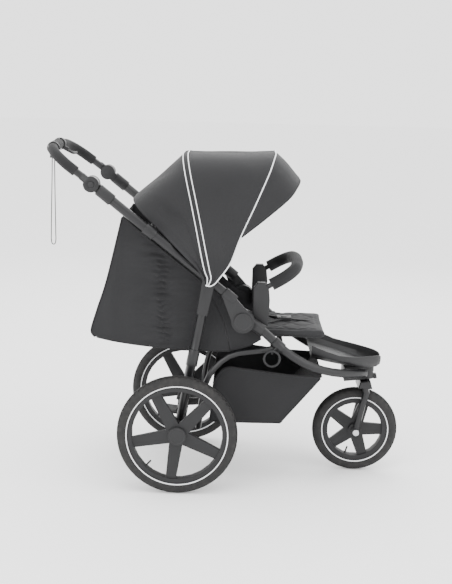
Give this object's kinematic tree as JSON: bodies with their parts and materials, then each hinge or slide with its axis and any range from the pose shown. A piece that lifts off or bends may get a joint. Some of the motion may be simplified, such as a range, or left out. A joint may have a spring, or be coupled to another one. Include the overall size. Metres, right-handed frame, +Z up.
{
  "type": "baby stroller",
  "caption": "Folding three-wheeled baby stroller with air-tyred spoked wheels, swivelling front fork, hinged canopy, flat-lying seat, bumper bar, basket and push handle.",
  "frame": {"origin": "on the ground, below the middle of the whole object's box", "axes": "+X forward towards the swivelling front wheel, +Y to the child's left, +Z up"},
  "size_m": [1.224, 0.626, 1.1448],
  "materials": {
    "frame_paint": "satin black powder coat",
    "black_plastic": "fine grained black",
    "rim_plastic": "matt black, fibre filled",
    "tyre_rubber": "matt black",
    "grip_foam": "closed-cell foam, matt",
    "canopy_cloth": "charcoal polyester weave",
    "seat_cloth": "quilted charcoal polyester",
    "basket_cloth": "black polyester mesh and weave",
    "strap_webbing": "black woven cord and webbing",
    "plated_steel": "zinc plated",
    "reflective_trim": "silver reflective trim"
  },
  "bodies": {
    "chassis": {"front_tube_right": "frame_paint", "front_tube_left": "frame_paint", "fold_hub_inner_right": "black_plastic", "fold_hub_inner_left": "black_plastic", "steering_head": "black_plastic", "footrest_tray": "black_plastic", "basket_frame_right": "frame_paint", "basket_frame_left": "frame_paint", "basket_cross_tube": "frame_paint", "basket": "basket_cloth", "seat_cross_tube": "frame_paint", "seat_pad": "seat_cloth", "harness_buckle": "black_plastic", "bumper_bracket_right": "black_plastic", "bumper_bracket_left": "black_plastic"},
    "buckle_button": {"buckle_button": "black_plastic"},
    "bumper": {"bumper_bar": "frame_paint", "bumper_grip": "grip_foam"},
    "fork": {"fork": "frame_paint", "front_axle": "plated_steel"},
    "front_wheel": {"front_rim": "rim_plastic", "front_tyre": "tyre_rubber"},
    "swivel_lock": {"swivel_lock": "black_plastic"},
    "transport_ring": {"transport_ring": "black_plastic"},
    "upper_frame": {"upper_tube_right": "frame_paint", "upper_tube_left": "frame_paint", "fold_hub_outer_right": "black_plastic", "fold_hub_outer_left": "black_plastic", "handle_socket_right": "black_plastic", "handle_socket_left": "black_plastic", "back_cross_tube": "frame_paint", "back_fabric": "canopy_cloth", "canopy_hub_right": "black_plastic", "canopy_hub_left": "black_plastic", "canopy_rear": "canopy_cloth"},
    "canopy_mid": {"canopy_bow_mid": "frame_paint", "canopy_middle": "canopy_cloth"},
    "canopy_front": {"canopy_bow_front": "frame_paint"},
    "visor": {"canopy_visor": "canopy_cloth"},
    "backrest": {"backrest_board": "black_plastic", "backrest_pad": "seat_cloth"},
    "handle": {"handle_tube": "frame_paint", "handle_grip": "grip_foam", "brake_clamp": "black_plastic", "strap_anchor": "black_plastic", "wrist_strap": "strap_webbing"},
    "brake_lever": {"brake_lever": "black_plastic"},
    "handle_button_right": {"handle_button_right": "black_plastic"},
    "handle_button_left": {"handle_button_left": "black_plastic"},
    "rear_legs": {"leg_right": "frame_paint", "leg_left": "frame_paint", "rear_axle": "frame_paint", "brake_housing_right": "black_plastic", "brake_housing_left": "black_plastic"},
    "brake_pedal": {"brake_pedal": "black_plastic"},
    "rear_wheel_right": {"rear_rim_right": "rim_plastic", "rear_tyre_right": "tyre_rubber"},
    "rear_wheel_left": {"rear_rim_left": "rim_plastic", "rear_tyre_left": "tyre_rubber"}
  },
  "joints": [
    {"name": "fold", "type": "hinge", "parent": "chassis", "child": "upper_frame", "pos_m": [0.055, 0, 0.577], "axis": [0, 1, 0], "range_deg": [0, 72], "deforming": ["back_fabric", "basket"]},
    {"name": "leg_fold", "type": "hinge", "parent": "upper_frame", "child": "rear_legs", "pos_m": [-0.05799, 0, 0.71799], "axis": [0, 1, 0], "range_deg": [-30.96, 0]},
    {"name": "fork_swivel", "type": "hinge", "parent": "chassis", "child": "fork", "pos_m": [0.49, 0, 0.337], "axis": [0, 0, 1], "continuous": true},
    {"name": "front_wheel_spin", "type": "hinge", "parent": "fork", "child": "front_wheel", "pos_m": [0.462, 0, 0.15], "axis": [0, 1, 0], "continuous": true},
    {"name": "rear_wheel_right_spin", "type": "hinge", "parent": "rear_legs", "child": "rear_wheel_right", "pos_m": [-0.152, -0.291, 0.2], "axis": [0, 1, 0], "continuous": true},
    {"name": "rear_wheel_left_spin", "type": "hinge", "parent": "rear_legs", "child": "rear_wheel_left", "pos_m": [-0.152, 0.291, 0.2], "axis": [0, 1, 0], "continuous": true},
    {"name": "brake_pedal_press", "type": "hinge", "parent": "rear_legs", "child": "brake_pedal", "pos_m": [-0.152, 0, 0.2], "axis": [0, 1, 0], "range_deg": [-20, 0]},
    {"name": "swivel_lock_turn", "type": "hinge", "parent": "chassis", "child": "swivel_lock", "pos_m": [0.509, 0, 0.346], "axis": [0, 1, 0], "range_deg": [-20, 0]},
    {"name": "buckle_press", "type": "slide", "parent": "chassis", "child": "buckle_button", "axis": [0, 0, -1], "range_m": [0, 0.003], "stiffness_N_per_m": 500, "springref_m": -0.0005},
    {"name": "bumper_pull", "type": "slide", "parent": "chassis", "child": "bumper", "axis": [0.866, 0, 0.5], "range_m": [0, 0.032]},
    {"name": "transport_ring_swing", "type": "hinge", "parent": "chassis", "child": "transport_ring", "pos_m": [0.1541, -0.2425, 0.4716], "axis": [0, 1, 0], "range_deg": [-50, 50]},
    {"name": "canopy_mid_fold", "type": "hinge", "parent": "upper_frame", "child": "canopy_mid", "pos_m": [-0.05799, 0, 0.71799], "axis": [0, 1, 0], "range_deg": [-28, 0], "deforming": ["canopy_middle", "canopy_rear"]},
    {"name": "canopy_front_fold", "type": "hinge", "parent": "canopy_mid", "child": "canopy_front", "pos_m": [-0.05799, 0, 0.71799], "axis": [0, 1, 0], "range_deg": [-36, 0], "deforming": ["canopy_visor"]},
    {"name": "visor_flip", "type": "hinge", "parent": "canopy_front", "child": "visor", "pos_m": [0.15095, 0, 1.11766], "axis": [0, 1, 0], "range_deg": [-45, 0]},
    {"name": "backrest_recline", "type": "hinge", "parent": "upper_frame", "child": "backrest", "pos_m": [0.018, 0, 0.484], "axis": [0, 1, 0], "range_deg": [0, 60]},
    {"name": "handle_tilt", "type": "hinge", "parent": "upper_frame", "child": "handle", "pos_m": [-0.444, 0, 1.015], "axis": [0, 1, 0], "range_deg": [-40, 30], "deforming": ["wrist_strap"]},
    {"name": "handle_button_right_press", "type": "slide", "parent": "handle", "child": "handle_button_right", "axis": [0, 1, 0], "range_m": [0, 0.003], "stiffness_N_per_m": 500, "springref_m": -0.0005},
    {"name": "handle_button_left_press", "type": "slide", "parent": "handle", "child": "handle_button_left", "axis": [0, -1, 0], "range_m": [0, 0.003], "stiffness_N_per_m": 500, "springref_m": -0.0005},
    {"name": "brake_lever_squeeze", "type": "hinge", "parent": "handle", "child": "brake_lever", "pos_m": [-0.5665, 0.052, 1.1044], "axis": [0.6212, 0, 0.7837], "range_deg": [0, 6], "stiffness_Nm_per_rad": 0.4, "springref_deg": -11.46}
  ],
  "couplings": [
    {"joint": "leg_fold", "follows": "fold", "ratio": -0.43}
  ]
}
